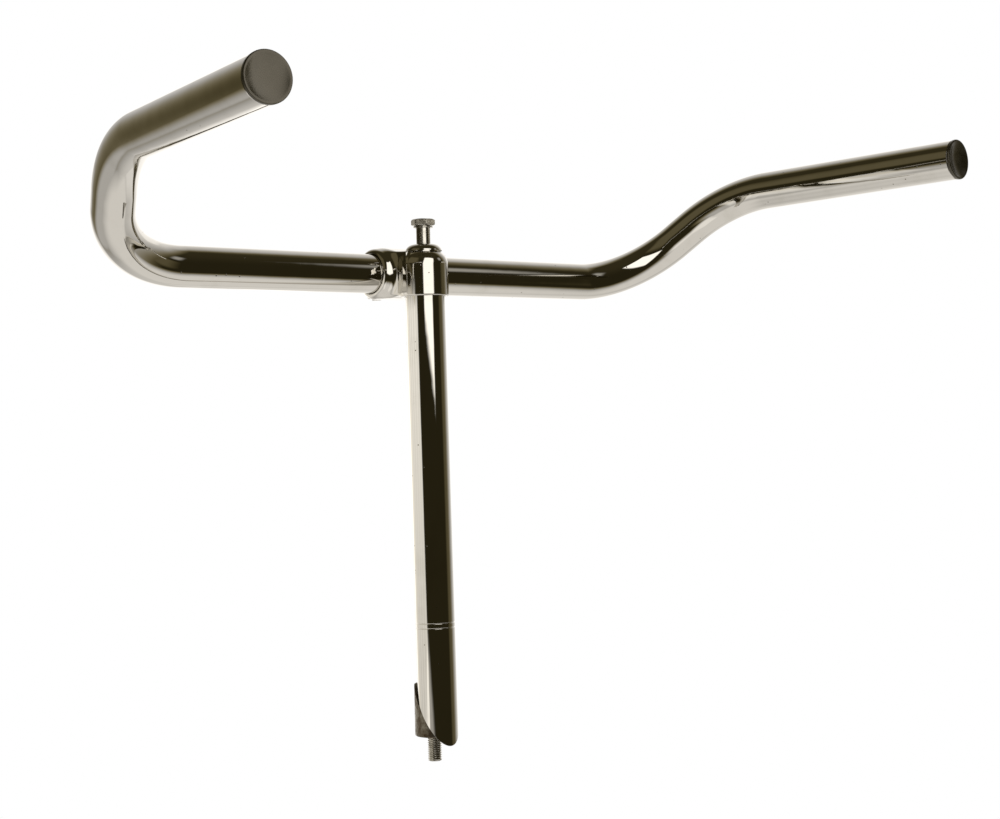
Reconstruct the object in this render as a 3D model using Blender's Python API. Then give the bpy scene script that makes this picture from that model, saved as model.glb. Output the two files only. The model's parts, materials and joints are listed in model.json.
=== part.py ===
"""Upright bicycle handlebar in a short-reach quill stem, as an assembly of separate pieces.

Frame: origin on the quill's axis at the lug's underside, +Z up the quill, +Y forward and +X to the
rider's right. Every length is in metres.
"""

import math

import bmesh
import bpy
from mathutils import Matrix, Vector

GAP = 0.0003  # clearance between pieces that touch
OVERSHOOT = 0.002  # how far a cutter reaches past what it cuts

# Handlebar
BAR_RADIUS = 0.0111
BAR_WALL = 0.0016
BAR_REACH = 0.025  # from the quill's axis forward to the bar's
BAR_HEIGHT = 0.0143  # from the lug's underside up to the bar's axis
FLAT_HALF = 0.185  # middle of the bar to the corner of its first bend
RISER = Vector((0.029, -0.063, 0.050))  # first corner to second
GRIP = Vector((0.0197, -0.1554, 0.0044))  # second corner to the bar's end
FIRST_BEND_RADIUS = 0.060
SECOND_BEND_RADIUS = 0.088
BAR_SIDES = 32
FIRST_BEND_STEPS = 10
SECOND_BEND_STEPS = 6

# End plugs
PLUG_RIM_RADIUS = 0.0114
PLUG_RIM_THICKNESS = 0.0018
PLUG_RIM_ROUND = 0.0007
PLUG_STEM_LENGTH = 0.018
PLUG_RIB_HEIGHT = 0.0006
PLUG_RIBS = 3
PLUG_RIB_PITCH = 0.005
PLUG_RIB_SLOPE = 0.0015  # long side of a rib, towards the stem's end
PLUG_RIB_BACK = 0.0005  # its steep side

# Lug: a head that closes over the quill's top and a split collar round the bar
HEAD_RADIUS = 0.0135
HEAD_HEIGHT = 0.0262
HEAD_SHOULDER = 0.0085
HEAD_SHOULDER_STEPS = 8
HEAD_FOOT_ROUND = 0.0006
COLLAR_RADIUS = 0.0140
COLLAR_HALF_WIDTH = 0.0190
COLLAR_ROUND = 0.0026
NECK_HALF_WIDTH = 0.0126
NECK_FILLET = 0.0050
NECK_BOTTOM = 0.0008
NECK_TOP = 0.0252
EAR_HALF_WIDTH = 0.0078
EAR_HALF_HEIGHT = 0.0055
EAR_LENGTH = 0.0120  # beyond the collar's outside
EAR_STEPS = 12
SLOT_WIDTH = 0.0020
BAR_BORE_RADIUS = BAR_RADIUS + 0.0004
QUILL_BORE_RADIUS = BAR_RADIUS + GAP
PLUG_BORE_RADIUS = 0.0091  # through the head's top

# Quill
QUILL_RADIUS = 0.0111
QUILL_WALL = 0.0020
QUILL_TOP = 0.0220
QUILL_FOOT = -0.2520
CUT_SLOPE = 1.6  # rise of the slanted cut for each unit forward
LIMIT_RING_HEIGHTS = (-0.1860, -0.1833)
LIMIT_RING_HALF_WIDTH = 0.0004
LIMIT_RING_DEPTH = 0.00025

# Domed top plug
DOME_RADIUS = 0.0105
DOME_BOTTOM = 0.0255  # rests above the lug's shoulder
DOME_TOP = 0.0293
DOME_EDGE_ROUND = 0.0047
DOME_EDGE_START = 11  # degrees round the edge's arc, where it meets the dome's underside
DOME_EDGE_STEPS = 6
DOME_BOLT_HOLE_RADIUS = 0.0050
DOME_SPIGOT_BOTTOM = 0.0100

# Expander: bolt, washer and wedge on one leaning axis
EXPANDER_SIDES = 24
EXPANDER_PIVOT_HEIGHT = 0.0273  # where the leaning axis crosses the quill's
EXPANDER_LEAN = 0.0131  # radians, foot forwards
M8_RADIUS = 0.0040
M8_ACROSS_FLATS = 0.0120
EXPANDER_HEAD_BOTTOM = 0.0398
EXPANDER_HEAD_TOP = 0.0436
EXPANDER_HEAD_TURN = math.radians(11)  # from +X to the nearest corner
EXPANDER_BOLT_FOOT = -0.2615
EXPANDER_BOLT_CHAMFER = 0.0006
EXPANDER_WASHER_RADIUS = 0.0055
EXPANDER_WASHER_BOTTOM = 0.0387
WEDGE_RADIUS = 0.0109
WEDGE_FOOT = -0.2471
WEDGE_TOP = -0.2178
WEDGE_EDGE_ROUND = 0.0008

# Hexagons
HEX_FACE_RADIUS = 0.475  # of the width across flats, inside the turned-off corners
HEX_CHAMFER_ANGLE = math.radians(30)
HEX_TURNED_SIDES = 48

# Binder fasteners, M6
M6_RADIUS = 0.0030
M6_ACROSS_FLATS = 0.0100
M6_CLEARANCE_RADIUS = 0.0034
BINDER_SIDES = 20
BINDER_HEAD_HEIGHT = 0.0038
BINDER_WASHER_RADIUS = 0.0058
BINDER_WASHER_THICKNESS = 0.0012
BINDER_NUT_HEIGHT = 0.0050
BINDER_THREAD_PAST_NUT = 0.0010
KEY_WIDTH = 0.0016
KEY_DEPTH = 0.0012
KEY_OFFSET = 0.0045

BAR_AXIS = Vector((0, BAR_REACH, BAR_HEIGHT))
BINDER_Y = BAR_REACH + COLLAR_RADIUS + 0.5 * EAR_LENGTH
ROUND_STEPS = 4  # segments along a rounded edge
ROUND_SIDES = 40  # segments round the lug's outside
SHARP_ANGLE = math.radians(35)


# Helpers


def clear_scene():
    for obj in list(bpy.data.objects):
        bpy.data.objects.remove(obj, do_unlink=True)


def material(name, colour, roughness, metallic):
    made = bpy.data.materials.new(name)
    made.use_nodes = True
    shader = made.node_tree.nodes["Principled BSDF"]
    shader.inputs["Base Color"].default_value = (*colour, 1.0)
    shader.inputs["Roughness"].default_value = roughness
    shader.inputs["Metallic"].default_value = metallic
    return made


def finish(bm, name, finish_material=None):
    """Turns a bmesh into a smooth-shaded object with outward faces."""
    bmesh.ops.recalc_face_normals(bm, faces=bm.faces)
    mesh = bpy.data.meshes.new(name)
    bm.to_mesh(mesh)
    bm.free()
    obj = bpy.data.objects.new(name, mesh)
    bpy.context.scene.collection.objects.link(obj)
    mesh.shade_smooth()
    mesh.set_sharp_from_angle(angle=SHARP_ANGLE)
    if finish_material:
        mesh.materials.append(finish_material)
    return obj


def arc(centre, radius, start, end, steps=ROUND_STEPS):
    """Points of an arc in a plane; the angles are in degrees."""
    angles = [math.radians(start + (end - start) * i / steps) for i in range(steps + 1)]
    return [(centre[0] + radius * math.cos(a), centre[1] + radius * math.sin(a)) for a in angles]


def turned(outline, sides, closed=False):
    """Spins an outline of (radius, height) points about Z.

    An open outline starts and ends on the axis; a closed one makes a ring.
    """
    bm = bmesh.new()
    verts = [bm.verts.new((radius, 0, height)) for radius, height in outline]
    edges = [bm.edges.new(pair) for pair in zip(verts, verts[1:])]
    if closed:
        edges.append(bm.edges.new((verts[-1], verts[0])))
    bmesh.ops.spin(
        bm,
        geom=verts + edges,
        cent=(0, 0, 0),
        axis=(0, 0, 1),
        angle=math.tau,
        steps=sides,
        use_merge=True,
    )
    bmesh.ops.remove_doubles(bm, verts=bm.verts, dist=1e-7)
    return bm


def extruded(outline, bottom, top):
    """Raises a flat outline of (x, y) points into a prism."""
    bm = bmesh.new()
    face = bm.faces.new([bm.verts.new((x, y, bottom)) for x, y in outline])
    raised = bmesh.ops.extrude_face_region(bm, geom=[face])
    lifted = [item for item in raised["geom"] if isinstance(item, bmesh.types.BMVert)]
    bmesh.ops.translate(bm, verts=lifted, vec=(0, 0, top - bottom))
    return bm


def block(low, high):
    outline = [(low[0], low[1]), (high[0], low[1]), (high[0], high[1]), (low[0], high[1])]
    return extruded(outline, low[2], high[2])


def cylinder(radius, bottom, top, sides):
    return turned([(0, bottom), (radius, bottom), (radius, top), (0, top)], sides)


def along_x(bm):
    """Turns a body made about Z so that it lies about X."""
    bmesh.ops.transform(bm, matrix=Matrix.Rotation(math.pi / 2, 4, "Y"), verts=bm.verts)
    return bm


def moved(bm, offset):
    bmesh.ops.translate(bm, verts=bm.verts, vec=offset)
    return bm


def combine(target, tool_bm, operation):
    """Applies one exact Boolean to an object and removes the tool."""
    tool = finish(tool_bm, target.name + "_tool")
    tool.hide_render = True
    tool.display_type = "WIRE"
    modifier = target.modifiers.new("combine", "BOOLEAN")
    modifier.operation = operation
    modifier.solver = "EXACT"
    modifier.object = tool
    bpy.context.view_layer.update()
    evaluated = target.evaluated_get(bpy.context.evaluated_depsgraph_get())
    result = bpy.data.meshes.new_from_object(evaluated)
    materials = list(target.data.materials)
    target.modifiers.clear()
    old = target.data
    target.data = result
    result.name = target.name
    bpy.data.meshes.remove(old)
    bpy.data.objects.remove(tool, do_unlink=True)
    result.materials.clear()
    for each in materials:
        result.materials.append(each)
    result.shade_smooth()
    result.set_sharp_from_angle(angle=SHARP_ANGLE)


def cut_by_plane(bm, point, normal):
    """Removes what lies on the plane's normal side and closes the ring that is left."""
    geometry = bm.verts[:] + bm.edges[:] + bm.faces[:]
    bmesh.ops.bisect_plane(
        bm, geom=geometry, plane_co=point, plane_no=normal, clear_outer=True, dist=1e-7
    )
    rims = [edge for edge in bm.edges if edge.is_boundary]
    bmesh.ops.bridge_loops(bm, edges=rims)
    return bm


def hexagon(name, across_flats, bottom, top, chamfer_bottom=True):
    """A hexagonal prism whose corners are turned off at its top, and at its bottom too unless told not to."""
    corner = across_flats / math.sqrt(3)
    outline = [(corner * math.cos(i * math.pi / 3), corner * math.sin(i * math.pi / 3)) for i in range(6)]
    prism = finish(extruded(outline, bottom, top), name)
    face = HEX_FACE_RADIUS * across_flats
    wide = corner + GAP
    drop = (wide - face) * math.tan(HEX_CHAMFER_ANGLE)
    if chamfer_bottom:
        profile = [(0, bottom), (face, bottom), (wide, bottom + drop)]
    else:
        profile = [(0, bottom - GAP), (wide, bottom - GAP)]
    profile += [(wide, top - drop), (face, top), (0, top)]
    combine(prism, turned(profile, HEX_TURNED_SIDES), "INTERSECT")
    return prism


# Handlebar


def corner_arc(before, corner, after, radius, steps):
    """Stations (point, direction) along the arc that rounds one corner of the centreline."""
    arriving = (corner - before).normalized()
    leaving = (after - corner).normalized()
    angle = arriving.angle(leaving)
    start = corner - arriving * radius * math.tan(angle / 2)
    inward = (leaving - arriving * arriving.dot(leaving)).normalized()
    centre = start + inward * radius
    stations = []
    for step in range(steps + 1):
        turn = angle * step / steps
        point = centre - inward * radius * math.cos(turn) + arriving * radius * math.sin(turn)
        direction = arriving * math.cos(turn) + inward * math.sin(turn)
        stations.append((point, direction))
    return stations


def half_centreline():
    """Stations from the middle of the bar to its right-hand end."""
    middle = Vector((0, 0, 0))
    first = Vector((FLAT_HALF, 0, 0))
    second = first + RISER
    end = second + GRIP
    stations = [(middle, Vector((1, 0, 0)))]
    stations += corner_arc(middle, first, second, FIRST_BEND_RADIUS, FIRST_BEND_STEPS)
    stations += corner_arc(first, second, end, SECOND_BEND_RADIUS, SECOND_BEND_STEPS)
    stations.append((end, GRIP.normalized()))
    return stations


def swept_rings(bm, stations, radius):
    """One ring of vertices at each station, carried along without twist."""
    rings = []
    across = Vector((0, 1, 0))
    previous = stations[0][1]
    for point, direction in stations:
        across = previous.rotation_difference(direction) @ across
        up = direction.cross(across)
        ring = []
        for side in range(BAR_SIDES):
            angle = math.tau * side / BAR_SIDES
            offset = across * math.cos(angle) + up * math.sin(angle)
            ring.append(bm.verts.new(point + offset * radius))
        rings.append(ring)
        previous = direction
    return rings


def join_rings(bm, first, second):
    for side in range(len(first)):
        after = (side + 1) % len(first)
        bm.faces.new((first[side], first[after], second[after], second[side]))


def make_handlebar(chrome):
    bm = bmesh.new()
    stations = half_centreline()
    outer = swept_rings(bm, stations, BAR_RADIUS)
    inner = swept_rings(bm, stations, BAR_RADIUS - BAR_WALL)
    for rings in (outer, inner):
        for first, second in zip(rings, rings[1:]):
            join_rings(bm, first, second)
    join_rings(bm, outer[-1], inner[-1])
    for vert in outer[0] + inner[0]:
        vert.co.x = 0.0
    bar = finish(bm, "handlebar", chrome)
    bar.location = BAR_AXIS
    mirror = bar.modifiers.new("other half", "MIRROR")
    mirror.use_axis = (True, False, False)
    mirror.merge_threshold = 0.00001
    return bar


def plug_outline():
    """Profile of an end plug: rim outside the tube from height 0 up, ribbed stem below."""
    stem = BAR_RADIUS - BAR_WALL - GAP - PLUG_RIB_HEIGHT
    outline = [(0, -PLUG_STEM_LENGTH), (stem - PLUG_RIB_HEIGHT, -PLUG_STEM_LENGTH)]
    for rib in range(PLUG_RIBS):
        start = -PLUG_STEM_LENGTH + PLUG_RIB_SLOPE + rib * PLUG_RIB_PITCH
        crest = start + PLUG_RIB_SLOPE
        outline += [(stem, start), (stem + PLUG_RIB_HEIGHT, crest), (stem, crest + PLUG_RIB_BACK)]
    top = GAP + PLUG_RIM_THICKNESS
    outline += [(stem, GAP), (PLUG_RIM_RADIUS, GAP)]
    outline += arc((PLUG_RIM_RADIUS - PLUG_RIM_ROUND, top - PLUG_RIM_ROUND), PLUG_RIM_ROUND, 0, 90)
    outline.append((0, top))
    return outline


def make_end_plug(name, side, rubber, bar):
    plug = finish(turned(plug_outline(), BAR_SIDES), name, rubber)
    end = Vector((FLAT_HALF, 0, 0)) + RISER + GRIP
    plug.parent = bar
    plug.location = (side * end.x, end.y, end.z)
    outward = Vector((side * GRIP.x, GRIP.y, GRIP.z))
    plug.rotation_mode = "QUATERNION"
    plug.rotation_quaternion = Vector((0, 0, 1)).rotation_difference(outward)
    return plug


# Stem


def head_body():
    """The head before it is bored; its broad shoulder runs in under the top plug."""
    shoulder = (HEAD_RADIUS - HEAD_SHOULDER, HEAD_HEIGHT - HEAD_SHOULDER)
    foot = (HEAD_RADIUS - HEAD_FOOT_ROUND, HEAD_FOOT_ROUND)
    outline = [(0, 0)] + arc(foot, HEAD_FOOT_ROUND, -90, 0)
    outline += arc(shoulder, HEAD_SHOULDER, 0, 90, HEAD_SHOULDER_STEPS)
    outline.append((0, HEAD_HEIGHT))
    return turned(outline, ROUND_SIDES)


def collar_body():
    edge_radius = COLLAR_RADIUS - COLLAR_ROUND
    edge = COLLAR_HALF_WIDTH - COLLAR_ROUND
    outline = [(0, -COLLAR_HALF_WIDTH)]
    outline += arc((edge_radius, -edge), COLLAR_ROUND, -90, 0)
    outline += arc((edge_radius, edge), COLLAR_ROUND, 0, 90)
    outline.append((0, COLLAR_HALF_WIDTH))
    return moved(along_x(turned(outline, ROUND_SIDES)), BAR_AXIS)


def neck_body():
    """A block between head and collar whose sides flare into the collar."""
    fillet_y = BAR_REACH - COLLAR_RADIUS
    wide = NECK_HALF_WIDTH + NECK_FILLET
    right = [(NECK_HALF_WIDTH, 0)] + arc((wide, fillet_y), NECK_FILLET, 180, 90)
    right.append((wide, BAR_REACH))
    left = [(-x, y) for x, y in reversed(right)]
    return extruded(right + left, NECK_BOTTOM, NECK_TOP)


def ear_body():
    """Two lugs in one block, later split by the slot; its front is rounded."""
    front = BAR_REACH + COLLAR_RADIUS + EAR_LENGTH
    centre = (0, front - EAR_HALF_WIDTH)
    outline = [(EAR_HALF_WIDTH, BAR_REACH)] + arc(centre, EAR_HALF_WIDTH, 0, 180, EAR_STEPS)
    outline.append((-EAR_HALF_WIDTH, BAR_REACH))
    return extruded(outline, BAR_HEIGHT - EAR_HALF_HEIGHT, BAR_HEIGHT + EAR_HALF_HEIGHT)


def slot_body():
    half = SLOT_WIDTH / 2
    end = COLLAR_HALF_WIDTH + OVERSHOOT
    front = BAR_REACH + COLLAR_RADIUS + EAR_LENGTH + OVERSHOOT
    low = (-end, BAR_REACH + 0.5 * BAR_RADIUS, BAR_HEIGHT - half)
    return block(low, (end, front, BAR_HEIGHT + half))


def key_body(clearance):
    """The key under the binder bolt's head, or its notch when given a clearance."""
    half = KEY_WIDTH / 2 + clearance
    top = BAR_HEIGHT + EAR_HALF_HEIGHT + (OVERSHOOT if clearance else 2 * GAP)
    bottom = BAR_HEIGHT + EAR_HALF_HEIGHT - KEY_DEPTH - clearance
    near = BINDER_Y - KEY_OFFSET - half
    return block((-half, near, bottom), (half, BINDER_Y - KEY_OFFSET + half, top))


def make_lug(chrome):
    lug = finish(head_body(), "stem_lug", chrome)
    for body in (collar_body(), neck_body(), ear_body()):
        combine(lug, body, "UNION")
    quill_bore = cylinder(QUILL_BORE_RADIUS, -OVERSHOOT, QUILL_TOP + GAP, BAR_SIDES)
    plug_bore = cylinder(PLUG_BORE_RADIUS, QUILL_TOP, HEAD_HEIGHT + OVERSHOOT, BAR_SIDES)
    half_bore = COLLAR_HALF_WIDTH + OVERSHOOT
    bar_bore = cylinder(BAR_BORE_RADIUS, -half_bore, half_bore, BAR_SIDES)
    bolt_hole = cylinder(M6_CLEARANCE_RADIUS, -HEAD_HEIGHT, 2 * HEAD_HEIGHT, BINDER_SIDES)
    cutters = [
        quill_bore,
        plug_bore,
        moved(along_x(bar_bore), BAR_AXIS),
        slot_body(),
        moved(bolt_hole, (0, BINDER_Y, 0)),
        key_body(GAP),
    ]
    for cutter in cutters:
        combine(lug, cutter, "DIFFERENCE")
    return lug


def make_quill(chrome):
    """The quill tube: two insertion-limit rings on its outside, and a slanted foot."""
    inner = QUILL_RADIUS - QUILL_WALL
    outline = [(inner, QUILL_TOP), (inner, QUILL_FOOT), (QUILL_RADIUS, QUILL_FOOT)]
    for height in LIMIT_RING_HEIGHTS:
        outline.append((QUILL_RADIUS, height - LIMIT_RING_HALF_WIDTH))
        outline.append((QUILL_RADIUS - LIMIT_RING_DEPTH, height))
        outline.append((QUILL_RADIUS, height + LIMIT_RING_HALF_WIDTH))
    outline.append((QUILL_RADIUS, QUILL_TOP))
    bm = turned(outline, BAR_SIDES, closed=True)
    cut_by_plane(bm, *cut_plane(0))
    return finish(bm, "quill_tube", chrome)


def cut_plane(clearance):
    """A point on the slanted cut and its normal, which points down and forwards."""
    normal = Vector((0, CUT_SLOPE, -1)).normalized()
    point = Vector((0, -QUILL_RADIUS, QUILL_FOOT)) + normal * clearance
    return point, normal


def make_top_plug(chrome):
    """The domed plug that closes the head's top, with a flat seat round its bolt hole."""
    spigot = PLUG_BORE_RADIUS - GAP
    hole = DOME_BOLT_HOLE_RADIUS
    outline = [(hole, DOME_SPIGOT_BOTTOM), (spigot, DOME_SPIGOT_BOTTOM), (spigot, DOME_BOTTOM)]
    centre = (DOME_RADIUS - DOME_EDGE_ROUND, DOME_TOP - DOME_EDGE_ROUND)
    outline += arc(centre, DOME_EDGE_ROUND, DOME_EDGE_START, 90, DOME_EDGE_STEPS)
    outline.append((hole, DOME_TOP))
    return finish(turned(outline, BAR_SIDES, closed=True), "top_plug", chrome)


# Expander


def make_expander_axis():
    """An empty on the bolt's axis; its +Z runs up the bolt, which leans with its foot forwards."""
    axis = bpy.data.objects.new("expander_axis", None)
    axis.location = (0, 0, EXPANDER_PIVOT_HEIGHT)
    axis.rotation_euler = (EXPANDER_LEAN, 0, 0)
    bpy.context.scene.collection.objects.link(axis)
    bpy.context.view_layer.update()
    return axis


def on_axis(height):
    """A height in the object's frame, as a distance along the leaning bolt."""
    return height - EXPANDER_PIVOT_HEIGHT


def make_expander_bolt(steel, axis):
    bottom = on_axis(EXPANDER_HEAD_BOTTOM)
    bolt = hexagon("expander_bolt", M8_ACROSS_FLATS, bottom, on_axis(EXPANDER_HEAD_TOP))
    foot = on_axis(EXPANDER_BOLT_FOOT)
    chamfer = EXPANDER_BOLT_CHAMFER
    outline = [(0, foot), (M8_RADIUS - chamfer, foot), (M8_RADIUS, foot + chamfer)]
    outline += [(M8_RADIUS, bottom + GAP), (0, bottom + GAP)]
    combine(bolt, turned(outline, EXPANDER_SIDES), "UNION")
    bolt.data.materials.append(steel)
    bolt.parent = axis
    bolt.rotation_euler = (0, 0, EXPANDER_HEAD_TURN)
    return bolt


def make_expander_washer(steel, axis):
    bottom = on_axis(EXPANDER_WASHER_BOTTOM)
    top = on_axis(EXPANDER_HEAD_BOTTOM) - GAP
    hole = M8_RADIUS + GAP
    outline = [(hole, bottom), (EXPANDER_WASHER_RADIUS, bottom), (EXPANDER_WASHER_RADIUS, top), (hole, top)]
    washer = finish(turned(outline, EXPANDER_SIDES, closed=True), "expander_washer", steel)
    washer.parent = axis
    return washer


def make_wedge(steel, axis):
    """A threaded cylinder whose slanted face lies along the quill's cut; its tip is blunt."""
    foot = on_axis(WEDGE_FOOT)
    top = on_axis(WEDGE_TOP)
    hole = M8_RADIUS + GAP
    edge = WEDGE_RADIUS - WEDGE_EDGE_ROUND
    outline = [(hole, foot)]
    outline += arc((edge, foot + WEDGE_EDGE_ROUND), WEDGE_EDGE_ROUND, -90, 0)
    outline += arc((edge, top - WEDGE_EDGE_ROUND), WEDGE_EDGE_ROUND, 0, 90)
    outline.append((hole, top))
    bm = turned(outline, BAR_SIDES, closed=True)
    point, normal = cut_plane(GAP)
    into_axis = axis.matrix_world.inverted()
    point = into_axis @ point
    cut_by_plane(bm, point, -(into_axis.to_3x3() @ normal))
    wedge = finish(bm, "expander_wedge", steel)
    wedge.parent = axis
    return wedge


# Binder


def make_binder_bolt(steel):
    head_bottom = BAR_HEIGHT + EAR_HALF_HEIGHT + GAP
    head_top = head_bottom + BINDER_HEAD_HEIGHT
    bolt = hexagon("binder_bolt", M6_ACROSS_FLATS, head_bottom, head_top, chamfer_bottom=False)
    foot = binder_nut_bottom() - BINDER_THREAD_PAST_NUT
    shank = cylinder(M6_RADIUS, foot, head_bottom + GAP, BINDER_SIDES)
    combine(bolt, shank, "UNION")
    combine(bolt, moved(key_body(0), (0, -BINDER_Y, 0)), "UNION")
    bolt.data.materials.append(steel)
    bolt.location = (0, BINDER_Y, 0)
    return bolt


def binder_washer_top():
    return BAR_HEIGHT - EAR_HALF_HEIGHT - GAP


def binder_nut_bottom():
    return binder_washer_top() - BINDER_WASHER_THICKNESS - GAP - BINDER_NUT_HEIGHT


def make_binder_washer(steel):
    top = binder_washer_top()
    bottom = top - BINDER_WASHER_THICKNESS
    hole = M6_CLEARANCE_RADIUS
    outline = [(hole, bottom), (BINDER_WASHER_RADIUS, bottom), (BINDER_WASHER_RADIUS, top), (hole, top)]
    washer = finish(turned(outline, EXPANDER_SIDES, closed=True), "binder_washer", steel)
    washer.location = (0, BINDER_Y, 0)
    return washer


def make_binder_nut(steel):
    bottom = binder_nut_bottom()
    top = bottom + BINDER_NUT_HEIGHT
    nut = hexagon("binder_nut", M6_ACROSS_FLATS, bottom, top)
    thread = cylinder(M6_RADIUS + GAP, bottom - GAP, top + GAP, BINDER_SIDES)
    combine(nut, thread, "DIFFERENCE")
    nut.data.materials.append(steel)
    nut.location = (0, BINDER_Y, 0)
    return nut


def main():
    clear_scene()
    chrome = material("chromed_steel", (0.62, 0.60, 0.55), 0.08, 1.0)
    lug_chrome = material("chromed_lug", (0.60, 0.58, 0.53), 0.10, 1.0)
    steel = material("plated_steel", (0.48, 0.46, 0.40), 0.28, 1.0)
    raw_steel = material("wedge_steel", (0.16, 0.15, 0.12), 0.45, 1.0)
    rubber = material("plug_rubber", (0.035, 0.033, 0.030), 0.60, 0.0)
    bar = make_handlebar(chrome)
    make_end_plug("left_end_plug", -1, rubber, bar)
    make_end_plug("right_end_plug", 1, rubber, bar)
    make_lug(lug_chrome)
    make_quill(chrome)
    make_top_plug(lug_chrome)
    axis = make_expander_axis()
    make_expander_bolt(steel, axis)
    make_expander_washer(steel, axis)
    make_wedge(raw_steel, axis)
    make_binder_bolt(steel)
    make_binder_washer(steel)
    make_binder_nut(steel)
    bpy.context.view_layer.update()


main()
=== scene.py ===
"""Chromed bicycle handlebar in a quill stem: detailed pieces, finishes, light and camera.

Every length is in metres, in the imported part's frame: +Z up the quill, +Y forward to the bar,
+X to the rider's right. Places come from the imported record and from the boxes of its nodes.
"""

import json
import math

import bmesh
import bpy
import numpy as np
from mathutils import Matrix, Quaternion, Vector


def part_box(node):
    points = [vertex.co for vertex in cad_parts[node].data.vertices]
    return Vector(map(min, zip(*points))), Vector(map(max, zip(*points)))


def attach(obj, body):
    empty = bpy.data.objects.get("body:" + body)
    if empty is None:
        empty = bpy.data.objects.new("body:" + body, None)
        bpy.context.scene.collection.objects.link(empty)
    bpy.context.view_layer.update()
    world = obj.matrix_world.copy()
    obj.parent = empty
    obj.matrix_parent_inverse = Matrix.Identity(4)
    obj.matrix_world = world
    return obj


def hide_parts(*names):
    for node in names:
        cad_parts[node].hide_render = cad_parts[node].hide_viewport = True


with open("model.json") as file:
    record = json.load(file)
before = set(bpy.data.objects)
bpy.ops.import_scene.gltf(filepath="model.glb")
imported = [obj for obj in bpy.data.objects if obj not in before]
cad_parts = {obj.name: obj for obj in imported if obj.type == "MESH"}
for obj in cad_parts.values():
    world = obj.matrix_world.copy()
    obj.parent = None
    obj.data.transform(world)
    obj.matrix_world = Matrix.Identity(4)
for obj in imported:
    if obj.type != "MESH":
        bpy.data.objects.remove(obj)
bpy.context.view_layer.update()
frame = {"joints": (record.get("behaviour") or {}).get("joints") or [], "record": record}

JOINTS = {joint["name"]: joint for joint in frame["joints"]}
MOUNTS = {mount["name"]: mount for mount in frame["record"]["mounts"]}
Z = Vector((0, 0, 1))

# Handlebar
BAR_AXIS = Vector(JOINTS["bar_tilt"]["pos_m"])
BAR_RADIUS = 0.0111
BAR_WALL = 0.0016
BAR_END_ROUND = 0.0003
FLAT_HALF = 0.185
RISER = Vector((0.029, -0.063, 0.050))
GRIP = Vector((0.0197, -0.1554, 0.0044))
FIRST_BEND_RADIUS = 0.060
SECOND_BEND_RADIUS = 0.088
BEND_STEPS = 40
BAR_SIDES = 96

# End plugs
GAP = 0.0003
PLUG_RIM_RADIUS = 0.01135
PLUG_RIM_THICKNESS = 0.0018
PLUG_RIM_ROUND = 0.0007
PLUG_DISH_RADIUS = 0.0104
PLUG_DISH_DEPTH = 0.0024
PLUG_DISH_STEPS = 14
PLUG_STEM_LENGTH = 0.018
PLUG_STEM_RADIUS = 0.0086
PLUG_RIB_HEIGHT = 0.0006
PLUG_RIBS = 3
PLUG_RIB_PITCH = 0.005
PLUG_RIB_START = 0.3  # of the pitch, as are the next two
PLUG_RIB_RISE = 0.3
PLUG_RIB_END = 0.4
PLUG_BACK_CHAMFER = 0.0002

# Lug
HEAD_RADIUS = 0.0135
HEAD_HEIGHT = 0.0262
HEAD_SHOULDER = 0.0085
HEAD_FOOT_ROUND = 0.0006
COLLAR_RADIUS = 0.0140
COLLAR_HALF_WIDTH = 0.0190
COLLAR_ROUND = 0.0026
NECK_HALF_WIDTH = 0.0126
NECK_BOTTOM = 0.0008
NECK_TOP = 0.0252
NECK_RISE = 0.0008  # how much higher the neck is beyond the plug's dome
NECK_RAMP = 0.0040
NECK_EDGE_ROUND = 0.0012
NECK_FILLET = 0.0065
HEAD_FILLET = 0.0020
EAR_HALF_WIDTH = 0.0078
EAR_HALF_HEIGHT = 0.0055
EAR_LENGTH = 0.0120
EAR_FILLET = 0.0025
EDGE_ROUND = 0.0005
SEAT_ROUND = 0.0001  # where the quill and the clamp bolt's key go in
SLOT_WIDTH = 0.0020
BAR_BORE_RADIUS = 0.0113
QUILL_BORE_RADIUS = 0.0114
PLUG_BORE_RADIUS = 0.0091
QUILL_BORE_TOP = 0.0223
LUG_VOXEL = 0.0005
LUG_PULL_STEPS = 4  # times that the mesh's vertices are moved onto the surface

# Quill
QUILL_RADIUS = 0.0111
QUILL_WALL = 0.0020
QUILL_SIDES = 128
CUT_SLOPE = 1.6  # height for each metre forward
LIMIT_RING_HEIGHTS = (-0.1833, -0.1860)
LIMIT_RING_HALF_WIDTH = 0.0004
LIMIT_RING_DEPTH = 0.00025
LIMIT_RING_STEPS = 8
CUT_ROUND = 0.0003
CUT_MARGIN = 0.002  # between the cut and the next ring of vertices
CUT_TOLERANCE = 1e-7

# Domed top plug
DOME_RADIUS = 0.0105
DOME_BOTTOM = 0.0255
DOME_EDGE_START = 11  # degrees
DOME_EDGE_ROUND = 0.0047
DOME_EDGE_STEPS = 16
DOME_BOLT_HOLE_RADIUS = 0.0050

# Expander
EXPANDER_PIVOT = Vector(JOINTS["bolt_turn"]["pos_m"])
EXPANDER_AXIS = Vector(JOINTS["bolt_turn"]["axis"])
M8_RADIUS = 0.0040
M8_PITCH = 0.00125
M8_ACROSS_FLATS = 0.0120
M8_HEAD_HEIGHT = 0.0038
M8_THREAD_LENGTH = 0.030
EXPANDER_HEAD_TURN = math.radians(11)
WEDGE_RADIUS = 0.0109
WEDGE_EDGE_ROUND = 0.0008

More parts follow.
